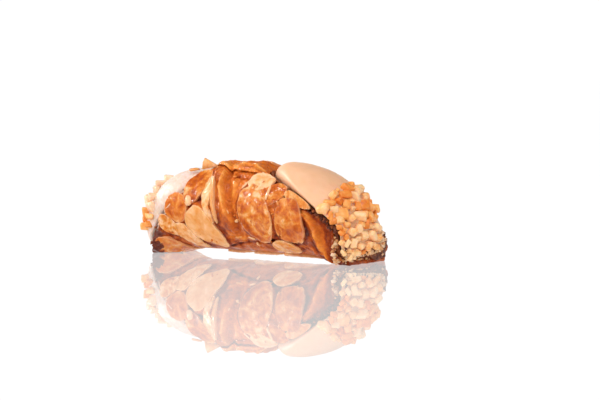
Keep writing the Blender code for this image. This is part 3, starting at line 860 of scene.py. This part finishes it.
def make_chocolate(name, rim, outward):
    """A ring inside a mouth: the lining, and a crumbly lip that covers the end of the wall."""
    profile = chocolate_profile()
    angle = np.linspace(0.0, 360.0, CHOCOLATE_ROUND_STEPS, endpoint=False)[None, :]
    offset = profile[:, :1]
    x = past_rim(rim, outward, angle, offset)
    radius = profile[:, 1:] * np.ones_like(angle)
    where = place(x, angle, radius)
    proud = smooth((offset + 2.0 * MM) / (2.0 * MM))
    crumbs = np.abs(roughly(where, CHOCOLATE_CRUMB_SIZE, 2.0, 3))
    crumbs = crumbs + 0.4 * roughly(where, CHOCOLATE_WAVE_SIZE, 9.0)
    rough = CHOCOLATE_ROUGHNESS * proud * (1.6 * crumbs - 0.7)
    x = x + outward * rough
    turned = degrees_from(angle)
    begin, end = CHOCOLATE_LOW_ANGLES
    low = smooth((end - turned) / 14.0) * smooth((turned - begin) / 12.0) * (outward > 0.0)
    radius = np.minimum(radius, TUBE_RADIUS - CHOCOLATE_LIP_INSET - CHOCOLATE_LOW_INSET * low)
    points = place(x, angle, radius + rough * (offset > 0.0))
    baked = np.maximum(smooth((height_part(angle) - 0.45) / 0.25), 0.85 * low)
    baked = np.broadcast_to(baked, radius.shape)
    faces = grid_faces(*points.shape[:2], close_rows=True)
    piece = make_piece(name.replace("rim", "lip"), points, faces, {"baked": baked})
    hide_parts(name)
    return piece


# The filling

CREAM_ROUND_STEPS = 180
CREAM_DOME_STEPS = 64
CREAM_WAVE = 0.16 * MM
CREAM_WAVE_SIZE = 6.0 * MM
CREAM_RIPPLE_SIZE = 1.1 * MM
CREAM_PAINTED_LIGHT_FADE = 20.0 * MM


def cream_fullness(angle, outward):
    part = height_part(angle) ** 0.8
    if outward > 0.0:
        slack = RIGHT_CREAM_FAR_SLACK * np.maximum(0.0, -sin_of(angle)) ** 1.5
        return mix(RIGHT_CREAM_FOOT, RIGHT_CREAM_TOP, part) - slack
    return mix(LEFT_CREAM_FOOT, LEFT_CREAM_TOP, part)


def cream_dome(rim, outward, end, angle, turn):
    """Points of the cream that stands out of a mouth: turn 0 is at the rim, a quarter turn the tip."""
    start = past_rim(rim, outward, angle, 2.0 * GAP + CHOCOLATE_LIP)
    power = RIGHT_DOME_POWER if outward > 0.0 else LEFT_DOME_POWER
    x = mix(start, end, np.sin(turn) ** (2.0 / power))
    full = cream_fullness(angle, outward)
    held = TUBE_RADIUS - WALL - CHOCOLATE_THICKNESS - 2.0 * GAP
    shoulder = mix(CREAM_SHOULDER_SIDE, CREAM_SHOULDER_TOP, height_part(angle) ** 4)
    rise = np.sqrt(1.0 - (1.0 - np.minimum(1.0, np.abs(x - start) / shoulder)) ** 2)
    base = place(start + 0.0 * turn, angle, mix(held, full, rise))
    tip = points_at(x, 0.0, CREAM_TIP_HEIGHT)
    base[..., 0] = x
    return tip + (base - tip) * np.cos(turn)[..., None]


def cream_rings(rim, outward, end):
    """Rings from well inside a mouth, past the chocolate, out to the tip of the dome."""
    full = TUBE_RADIUS - WALL - GAP
    passed = full - CHOCOLATE_THICKNESS - GAP
    past_lip = 2.0 * GAP + CHOCOLATE_LIP
    angle = np.linspace(0.0, 360.0, CREAM_ROUND_STEPS, endpoint=False)[None, :]
    deep = -CHOCOLATE_REACH
    inner = ((deep - 1.6 * MM, full), (deep - 0.5 * MM, passed), (past_lip * 0.5, passed))
    rings = [place(past_rim(rim, outward, angle, offset), angle, radius) for offset, radius in inner]
    turns = np.pi / 2 * np.linspace(0.002, 0.998, CREAM_DOME_STEPS)[:, None] ** 1.4
    rings.append(cream_dome(rim, outward, end, angle, turns * np.ones_like(angle)))
    return np.concatenate(rings)


def make_cream():
    """The filling, which runs right through the tube and stands out of both mouths."""
    left = cream_rings(left_rim, -1.0, LEFT_CREAM_END)
    right = cream_rings(right_rim, 1.0, RIGHT_CREAM_END)
    points = np.concatenate((left[::-1], right))
    wave = roughly(points, CREAM_WAVE_SIZE, 1.0, 2) + 0.25 * roughly(points, CREAM_RIPPLE_SIZE, 4.0, 2)
    out = points - np.array((0.0, 0.0, AXIS_HEIGHT))
    out[..., 0] = 0.0
    out /= np.maximum(np.linalg.norm(out, axis=-1, keepdims=True), 1e-6)
    points = points + out * (CREAM_WAVE * wave)[..., None]
    points[..., 2] = np.maximum(points[..., 2], 0.05 * MM)
    rows, columns = points.shape[:2]
    faces = grid_faces(rows, columns)
    poles = np.array([(end, 0.0, CREAM_TIP_HEIGHT) for end in (LEFT_CREAM_END, RIGHT_CREAM_END)])
    for pole, first in ((rows * columns, 0), (rows * columns + 1, (rows - 1) * columns)):
        faces += [[pole, first + index, first + (index + 1) % columns] for index in range(columns)]
    points = np.concatenate((points.reshape(-1, 3), poles))
    # Painted highlight: the cream is made paler towards the left end, where the light from the left falls
    # on it
    pale = smooth(-points[:, 0] / CREAM_PAINTED_LIGHT_FADE) * 0.75
    piece = make_piece("cream_filling", points, faces, {"pale": pale})
    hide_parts("cream")
    return piece


# Chopped nuts

def chip(centre, size, stretch, turned, jitter, worn=0.08):
    """A chip of chopped nut: an uneven block with flat faces and worn edges."""
    corners = []
    for corner, grow in zip(itertools.product((-0.39, 0.39), repeat=3), jitter):
        corners.append(centre + turned @ (Vector(corner) * size * stretch * grow))
    return hull(corners, worn * size)


def draw_chip(dice):
    """A chip's stretch, the way it is turned and how far each of its corners stands out."""
    stretch = Vector((dice.uniform(1.0, 1.5), dice.uniform(0.85, 1.15), dice.uniform(0.6, 0.85)))
    turned = Vector([dice.uniform(-1.0, 1.0) for _ in range(3)]).to_track_quat("Z", "Y")
    jitter = [dice.uniform(0.7, 1.2) for _ in range(8)]
    return stretch, turned, jitter


def lip_points(rim, outward):
    """Points along the front of a mouth's chocolate, which the nuts keep clear of."""
    angle = np.arange(0.0, 360.0, 5.0)
    x = past_rim(rim, outward, angle, GAP + CHOCOLATE_LIP)
    brim = place(x, angle, TUBE_RADIUS - CHOCOLATE_LIP_INSET)
    lining = place(x, angle, TUBE_RADIUS - WALL - GAP - CHOCOLATE_THICKNESS)
    return np.concatenate((brim, lining))


def scatter_nuts(heap, end_of, sizes, crowding, clear, dice, tones, placed):
    """Adds chips of these sizes to an end of the cream, each at the first free place found."""
    rim, outward, end, begin, lowest = end_of
    lip = lip_points(rim, outward)
    for size in sorted(sizes, reverse=True):
        for _ in range(NUT_TRIES):
            angle = dice.uniform(0.0, 360.0)
            turn = math.acos(dice.uniform(0.0, 1.0) ** 0.5)
            spot = Vector(cream_dome(rim, outward, end, angle, turn))
            heart = Vector((spot.x - outward * TUBE_RADIUS, 0.0, AXIS_HEIGHT))
            spot += (spot - heart).normalized() * size * NUT_PROUD
            if (spot.x - begin) * outward < 0.0 or spot.z < lowest:
                continue
            if outward > 0.0 and spot.y > RIGHT_BARE_BEYOND and spot.z < RIGHT_BARE_BELOW:
                continue
            if np.linalg.norm(lip - np.array(spot), axis=1).min() < size * clear:
                continue
            if any((spot - other).length < crowding * (size + width) for other, width in placed):
                continue
            placed.append((spot, size))
            coated = LEFT_COATING if outward < 0.0 and spot.z > LEFT_COATED_ABOVE else 0.0
            heap.add(*chip(spot, size, *draw_chip(dice)), tone=tones.random(), coated=coated)
            break


def make_nuts():
    """Chips spread over the two ends of the cream, the largest first, then small ones between."""
    heap = Heap(("tone", "coated"))
    dice = random.Random(NUT_SEED)
    tones = random.Random(NUT_SEED + 1)
    right = (right_rim, 1.0, RIGHT_CREAM_END, RIGHT_NUTS_FROM, 0.0)
    left = (left_rim, -1.0, LEFT_CREAM_END, LEFT_NUTS_FROM, LEFT_NUTS_LOWEST)
    placed = {right: [], left: []}
    rounds = (
        (right, NUTS_PER_END, NUT_SIZE, NUT_CROWDING, NUT_CLEAR),
        (left, NUTS_PER_END, NUT_SIZE, NUT_CROWDING, NUT_CLEAR),
        (right, RIGHT_FILLERS, FILLER_SIZE, FILLER_CROWDING, FILLER_CLEAR),
        (left, LEFT_FILLERS, FILLER_SIZE, FILLER_CROWDING, FILLER_CLEAR),
    )
    for end_of, count, size, crowding, clear in rounds:
        sizes = [dice.uniform(*size) for _ in range(count)]
        scatter_nuts(heap, end_of, sizes, crowding, clear, dice, tones, placed[end_of])
    piece = heap.piece("chopped_nuts")
    piece.data.set_sharp_from_angle(angle=math.radians(40.0))
    return piece


def lip_crumb(rim, outward, angle, dice):
    """A crumb on the front of the chocolate: where it lies, and its tone from dark to pale."""
    crust = outward > 0.0 and CRUST_ANGLES[0] < angle < CRUST_ANGLES[1]
    offset = dice.uniform(-0.3, 0.3 if crust else 1.0) * MM
    least = 0.5 if angle > -20.0 else 1.5
    radius = TUBE_RADIUS - dice.uniform(least, 2.6 if crust or offset < 0.6 * MM else 4.0) * MM
    x = past_rim(rim, outward, angle, offset)
    if crust:
        pale = 0.8 if angle > 8.0 else 0.35
        dark = dice.uniform(0.15, 0.45)
    else:
        pale = smooth(-(angle + 15.0) / 40.0) * 0.45
        dark = dice.uniform(0.0, 0.4) ** 1.2
    return spot_at(x, angle, radius), dice.uniform(0.5, 1.0) if dice.random() < pale else dark


def cream_crumb(rim, outward, end, dice):
    """A crumb low on the end of the cream."""
    angle = dice.uniform(*CREAM_CRUMB_ANGLES)
    turn = dice.uniform(0.02, 0.7) ** 1.3
    tone = dice.choice((0.1, 0.55, 0.75, 0.9, 1.0))
    return Vector(cream_dome(rim, outward, end, angle, turn)), tone


def make_crumbs():
    """Small crumbs of nut, pastry and chocolate on both chocolate lips and the right end's foot."""
    heap = Heap(("tone",))
    dice = random.Random(CRUMB_SEED)
    ends = (
        (right_rim, 1.0, RIGHT_CREAM_END, RIGHT_CRUMBS, -130.0),
        (left_rim, -1.0, LEFT_CREAM_END, LEFT_CRUMBS, -20.0),
    )
    for rim, outward, end, count, far in ends:
        for _ in range(count):
            size = dice.uniform(*CRUMB_SIZE)
            angle = dice.uniform(far, 118.0)
            if outward < 0.0 or dice.random() < CRUMBS_ON_LIP:
                spot, tone = lip_crumb(rim, outward, angle, dice)
            else:
                spot, tone = cream_crumb(rim, outward, end, dice)
            if spot.z < 1.4 * size:
                continue
            heap.add(*chip(spot, size, *draw_chip(dice), worn=0.0), tone=tone)
    piece = heap.piece("rim_crumbs")
    return piece


# Materials

class Look:
    """A node material under construction, with short ways to add and link nodes."""

    def __init__(self, name):
        self.material = bpy.data.materials.new(name)
        self.material.use_nodes = True
        self.tree = self.material.node_tree
        self.surface = self.tree.nodes["Principled BSDF"]
        self.places = self.node("TexCoord").outputs["Object"]

    def node(self, kind, **values):
        """A new node with these values in its inputs."""
        node = self.tree.nodes.new("ShaderNode" + kind)
        for name, value in values.items():
            node.inputs[name].default_value = value
        return node

    def link(self, output, target):
        self.tree.links.new(output, target)

    def fill(self, socket, value):
        """Puts a number or a colour into a socket, or links another node's output to it."""
        if isinstance(value, bpy.types.NodeSocket):
            self.link(value, socket)
        else:
            socket.default_value = (*value, 1.0) if isinstance(value, tuple) else value

    def noise(self, size, detail=3.0, roughness=0.5, distortion=0.0):
        """Noise from 0 to 1 whose features are about this many metres across."""
        node = self.node(
            "TexNoise", Scale=1.0 / size, Detail=detail, Roughness=roughness, Distortion=distortion
        )
        self.link(self.places, node.inputs["Vector"])
        return node.outputs["Fac"]

    def attribute(self, label):
        node = self.node("Attribute")
        node.attribute_name = label
        return node.outputs["Fac"]

    def math(self, operation, *values):
        node = self.node("Math")
        node.operation = operation
        for socket, value in zip(node.inputs, values):
            self.fill(socket, value)
        return node.outputs["Value"]

    def scaled(self, value, factor, offset):
        return self.math("MULTIPLY_ADD", value, factor, offset)

    def ramp(self, value, *stops):
        """Colours by value, from (position, (red, green, blue)) stops."""
        node = self.node("ValToRGB")
        elements = node.color_ramp.elements
        while len(elements) < len(stops):
            elements.new(1.0)
        for element, (position, colour) in zip(elements, stops):
            element.position = position
            element.color = (*colour, 1.0)
        self.link(value, node.inputs["Fac"])
        return node.outputs["Color"]

    def mask(self, value, start, end, low=0.0, high=1.0):
        """Grey from low to high as the value goes from start to end."""
        return self.ramp(value, (start, (low,) * 3), (end, (high,) * 3))

    def blend(self, part, first, second, kind="MIX"):
        node = self.node("Mix")
        node.data_type = "RGBA"
        node.blend_type = kind
        for socket, value in (("Factor", part), (6, first), (7, second)):
            self.fill(node.inputs[socket], value)
        return node.outputs[2]

    def relief(self, socket, height, distance, strength=1.0):
        node = self.node("Bump", Distance=distance, Strength=strength)
        self.link(height, node.inputs["Height"])
        self.link(node.outputs["Normal"], self.surface.inputs[socket])

    def glaze(self, weight, size, distance):
        """A clear glossy layer of this weight whose own unevenness makes highlights of this size."""
        self.relief("Coat Normal", self.noise(size, 1.0, 0.4, 0.6), distance)
        self.link(weight, self.surface.inputs["Coat Weight"])

    def glow(self, weight, radius, scale):
        """Light that spreads under the surface."""
        self.set(Subsurface_Weight=weight, Subsurface_Radius=radius, Subsurface_Scale=scale)

    def set(self, **values):
        """Sets the shader's own sockets; words are joined by underscores."""
        for name, value in values.items():
            self.surface.inputs[name.replace("_", " ")].default_value = value

    def paint(self, colour, height=None, *depth):
        """Gives the surface its colour and, from a height, its fine relief."""
        self.link(colour, self.surface.inputs["Base Color"])
        if height is not None:
            self.relief("Normal", height, *depth)
        return self.material


def pastry_look():
    look = Look("baked_pastry")
    broad = look.noise(6.0 * MM, 4.0, 0.6, 0.8)
    fine = look.noise(1.6 * MM, 5.0, 0.65)
    value = look.scaled(broad, 0.8, look.scaled(fine, 0.5, -0.69))
    # Colour by the pastry's baked tone together with the painted highlight and painted shade it carries
    colour = look.ramp(
        look.math("ADD", look.attribute("bake_and_painted_light"), value),
        (0.02, (0.08, 0.009, 0.003)),
        (0.25, (0.27, 0.038, 0.006)),
        (0.45, (0.50, 0.102, 0.012)),
        (0.62, (0.64, 0.160, 0.020)),
        (0.82, (0.76, 0.250, 0.040)),
        (1.0, (0.90, 0.400, 0.110)),
    )
    # Painted highlight: the left rim's thin edge is made pale, as if lit from behind
    colour = look.blend(look.math("MULTIPLY", look.attribute("edge"), 0.7), colour, (0.9, 0.66, 0.48))
    dark = look.ramp(look.noise(1.2 * MM, 4.0, 0.6), (0.4, (0.09, 0.017, 0.01)), (0.7, (0.2, 0.05, 0.026)))
    colour = look.blend(look.attribute("smear"), colour, dark)
    look.link(look.mask(look.noise(2.4 * MM), 0.3, 0.7, 0.25, 0.5), look.surface.inputs["Roughness"])
    patches = look.mask(look.noise(3.0 * MM, 3.0, 0.6, 0.5), 0.5, 0.6, 0.0, 0.9)
    look.glaze(look.math("MAXIMUM", patches, look.attribute("wet")), 1.3 * MM, 1.0 * MM)
    look.glow(0.12, (1.0, 0.3, 0.1), 0.8 * MM)
    look.set(Specular_IOR_Level=0.06, Coat_Roughness=0.1, Coat_IOR=1.4)
    return look.paint(colour, look.noise(0.9 * MM, 3.0, 0.6), 0.45 * MM, 0.9)


def almond_look():
    look = Look("sliced_almond")
    tone = look.attribute("tone")
    mottled = look.attribute("mottled")
    blotch = look.math("SUBTRACT", look.noise(3.4 * MM, 4.0, 0.58, 0.4), 0.5)
    along_slice = look.node("CombineXYZ")
    look.link(look.math("MULTIPLY", look.attribute("lengthwise"), 0.18), along_slice.inputs["X"])
    look.link(look.attribute("crosswise"), along_slice.inputs["Y"])
    grain = look.noise(1.1 * MM, 3.0, 0.6)
    look.link(along_slice.outputs["Vector"], grain.node.inputs["Vector"])
    streaks = look.scaled(grain, 0.2, -0.1)
    value = look.scaled(blotch, look.scaled(mottled, 2.8, 0.35), tone)
    colour = look.ramp(
        look.math("ADD", value, streaks),
        (0.0, (0.86, 0.50, 0.28)),
        (0.2, (0.76, 0.35, 0.120)),
        (0.38, (0.68, 0.235, 0.040)),
        (0.55, (0.62, 0.165, 0.018)),
        (0.75, (0.52, 0.105, 0.009)),
        (1.0, (0.36, 0.055, 0.005)),
    )
    speck = look.mask(look.noise(1.0 * MM, 2.0), 0.62, 0.7, 0.0, 0.6)
    colour = look.blend(look.math("MULTIPLY", speck, mottled), colour, (0.36, 0.05, 0.008))
    pale = look.math("MULTIPLY", look.attribute("rim"), look.scaled(tone, -0.5, 0.6))
    colour = look.blend(pale, colour, (0.9, 0.58, 0.32))
    patches = look.mask(look.noise(3.0 * MM, 3.0, 0.6, 0.5), 0.44, 0.54)
    glazed = look.math("MULTIPLY", patches, look.scaled(mottled, 0.6, 0.4))
    look.glaze(glazed, 1.6 * MM, 0.4 * MM)
    look.glow(0.15, (1.0, 0.4, 0.12), 0.8 * MM)
    look.set(Roughness=0.4, Specular_IOR_Level=0.08, Coat_Roughness=0.12, Coat_IOR=1.36)
    uneven = look.scaled(mottled, 0.9, 0.1)
    height = look.math("MULTIPLY", look.noise(1.1 * MM, 3.0, 0.55), uneven)
    return look.paint(colour, look.scaled(grain, 0.3, height), 0.35 * MM, 0.8)


def cream_look():
    look = Look("hazelnut_cream")
    colour = look.ramp(look.noise(5.0 * MM), (0.3, (0.78, 0.435, 0.25)), (0.7, (0.82, 0.475, 0.285)))
    # Painted highlight: towards the left end the cream turns to a pale swirled colour, as if lit from the
    # left
    swirl = look.noise(2.2 * MM, 4.0, 0.6, 1.5)
    painted_light_swirl = look.ramp(swirl, (0.4, (0.66, 0.5, 0.41)), (0.62, (0.76, 0.68, 0.65)))
    colour = look.blend(look.attribute("pale"), colour, painted_light_swirl)
    look.set(Roughness=0.45, Specular_IOR_Level=0.3)
    look.glow(0.4, (1.0, 0.5, 0.25), 1.5 * MM)
    return look.paint(colour, look.noise(0.5 * MM), 0.08 * MM, 0.5)


def nut_look():
    look = Look("chopped_nut")
    tone = look.scaled(look.attribute("tone"), 0.85, -0.53)
    colour = look.ramp(
        look.scaled(look.noise(1.6 * MM, 4.0, 0.55), 0.9, tone),
        (0.0, (0.96, 0.60, 0.31)),
        (0.35, (0.88, 0.39, 0.10)),
        (0.75, (0.78, 0.23, 0.03)),
        (1.0, (0.58, 0.11, 0.012)),
    )
    colour = look.blend(look.attribute("coated"), colour, (0.86, 0.64, 0.46))
    look.set(Roughness=0.38, Specular_IOR_Level=0.35)
    look.glow(0.2, (1.0, 0.45, 0.15), 0.8 * MM)
    return look.paint(colour, look.noise(0.6 * MM), 0.12 * MM, 0.5)


def crumb_look():
    look = Look("rim_crumb")
    colour = look.ramp(
        look.attribute("tone"),
        (0.0, (0.08, 0.017, 0.01)),
        (0.15, (0.16, 0.042, 0.02)),
        (0.35, (0.46, 0.13, 0.03)),
        (0.65, (0.80, 0.42, 0.17)),
        (1.0, (0.93, 0.68, 0.46)),
    )
    colour = look.blend(look.noise(0.6 * MM), colour, (0.75, 0.6, 0.5), kind="MULTIPLY")
    look.set(Roughness=0.55, Specular_IOR_Level=0.25)
    look.glow(0.15, (1.0, 0.45, 0.2), 0.6 * MM)
    return look.paint(colour)


def chocolate_look():
    look = Look("dark_chocolate")
    crumb = look.noise(1.2 * MM, 4.0, 0.6)
    colour = look.ramp(
        crumb, (0.35, (0.06, 0.013, 0.008)), (0.52, (0.14, 0.036, 0.018)), (0.68, (0.36, 0.12, 0.04))
    )
    caramel = look.ramp(crumb, (0.3, (0.12, 0.02, 0.006)), (0.7, (0.40, 0.11, 0.025)))
    colour = look.blend(look.attribute("baked"), colour, caramel)
    look.set(Roughness=0.5, Specular_IOR_Level=0.3)
    return look.paint(colour, crumb, 0.5 * MM, 0.9)


def floor_look():
    """A white glossy table, evenly bright, that mirrors more the flatter it is seen."""
    white = (1.0, 1.0, 1.0, 1.0)
    look = Look("white_table")
    look.set(Roughness=0.9, Specular_IOR_Level=0.0, Base_Color=(0.06, 0.06, 0.06, 1.0))
    look.set(Emission_Strength=0.97, Emission_Color=white)
    gloss = look.node("BsdfGlossy", Roughness=0.0, Color=white)
    grazing = look.node("Fresnel", IOR=1.6)
    both = look.node("MixShader")
    look.link(grazing.outputs["Fac"], both.inputs["Fac"])
    look.link(look.surface.outputs["BSDF"], both.inputs[1])
    look.link(gloss.outputs["BSDF"], both.inputs[2])
    look.link(both.outputs["Shader"], look.tree.nodes["Material Output"].inputs["Surface"])
    return look.material


# The stage

FLOOR_HALF = 6.0

# Lights: name, place, size across and power in watts
LIGHTS = (
    ("key_light", (-0.5, -0.05, 0.22), 0.09, 1.5),
    ("top_light", (0.2, -0.15, 0.65), 0.3, 2.4),
    ("front_light", (-0.35, -0.5, 0.28), 0.05, 1.4),
    ("fill_light", (0.4, -0.5, 0.35), 0.08, 1.2),
)
LIT_SPOT = Vector((0.0, 0.0, 0.02))

# The room round it: how bright it is at two heights, as the upward part of the direction
WORLD_GREYS = ((0.18, 1.0), (0.42, 0.16))
WORLD_STRENGTH = 1.03


def make_floor():
    data = bpy.data.meshes.new("table_top")
    corners = [(x * FLOOR_HALF, y * FLOOR_HALF, 0.0) for x, y in ((-1, -1), (1, -1), (1, 1), (-1, 1))]
    data.from_pydata(corners, [], [(0, 1, 2, 3)])
    floor = add_object("table_top", data)
    data.materials.append(floor_look())


def make_light(name, place_of, size, power):
    """A soft square light that faces the object."""
    data = bpy.data.lights.new(name, "AREA")
    data.size = size
    data.energy = power
    light = add_object(name, data)
    light.location = place_of
    light.rotation_mode = "QUATERNION"
    light.rotation_quaternion = (Vector(place_of) - LIT_SPOT).to_track_quat("Z", "Y")


def make_world():
    """A white room whose walls are bright and whose ceiling is dim."""
    world = bpy.data.worlds.new("white_room")
    world.use_nodes = True
    nodes, link = world.node_tree.nodes, world.node_tree.links.new
    places = nodes.new("ShaderNodeTexCoord")
    split = nodes.new("ShaderNodeSeparateXYZ")
    ramp = nodes.new("ShaderNodeValToRGB")
    link(places.outputs["Generated"], split.inputs["Vector"])
    link(split.outputs["Z"], ramp.inputs["Fac"])
    link(ramp.outputs["Color"], nodes["Background"].inputs["Color"])
    for element, (position, grey) in zip(ramp.color_ramp.elements, WORLD_GREYS):
        element.position = position
        element.color = (grey, grey, grey, 1.0)
    nodes["Background"].inputs["Strength"].default_value = WORLD_STRENGTH
    bpy.context.scene.world = world
    bpy.context.scene.view_settings.view_transform = "Standard"


def make_camera():
    """The camera that sees ANCHOR at ANCHOR_PIXEL, from the photograph's side and height."""
    azimuth, elevation, roll = map(math.radians, (CAMERA_AZIMUTH, CAMERA_ELEVATION, CAMERA_ROLL))
    aside = Vector((math.sin(azimuth), -math.cos(azimuth), 0.0))
    back = aside * math.cos(elevation) + Vector((0.0, 0.0, math.sin(elevation)))
    level = Vector((math.cos(azimuth), math.sin(azimuth), 0.0))
    upright = back.cross(level)
    right = level * math.cos(roll) + upright * math.sin(roll)
    up = upright * math.cos(roll) - level * math.sin(roll)
    focal = LENS / SENSOR * PHOTO_SIZE[0]
    across = (ANCHOR_PIXEL[0] - PHOTO_SIZE[0] / 2.0) / focal
    above = (PHOTO_SIZE[1] / 2.0 - ANCHOR_PIXEL[1]) / focal
    ray = right * across + up * above - back
    data = bpy.data.cameras.new("photo_camera")
    data.lens = LENS
    data.sensor_width = SENSOR
    data.clip_start = 0.01
    data.clip_end = 50.0
    camera = add_object("photo_camera", data)
    stand = Matrix.Translation(ANCHOR + SHIFT - ray * ANCHOR_DEPTH)
    camera.matrix_world = stand @ Matrix((right, up, back)).transposed().to_4x4()
    bpy.context.scene.camera = camera


def main():
    make_camera()
    make_world()
    make_floor()
    for name, place_of, size, power in LIGHTS:
        make_light(name, place_of, size, power)
    almond = almond_look()
    dressed = (
        (make_shell(), pastry_look()),
        (make_slices(), almond),
        (make_flakes(), almond),
        (make_cream(), cream_look()),
        (make_nuts(), nut_look()),
        (make_crumbs(), crumb_look()),
    )
    for piece, material in dressed:
        piece.data.materials.append(material)
    dark = chocolate_look()
    mouths = (("chocolate_rim_left", left_rim, -1.0), ("chocolate_rim_right", right_rim, 1.0))
    for name, rim, outward in mouths:
        make_chocolate(name, rim, outward).data.materials.append(dark)


main()
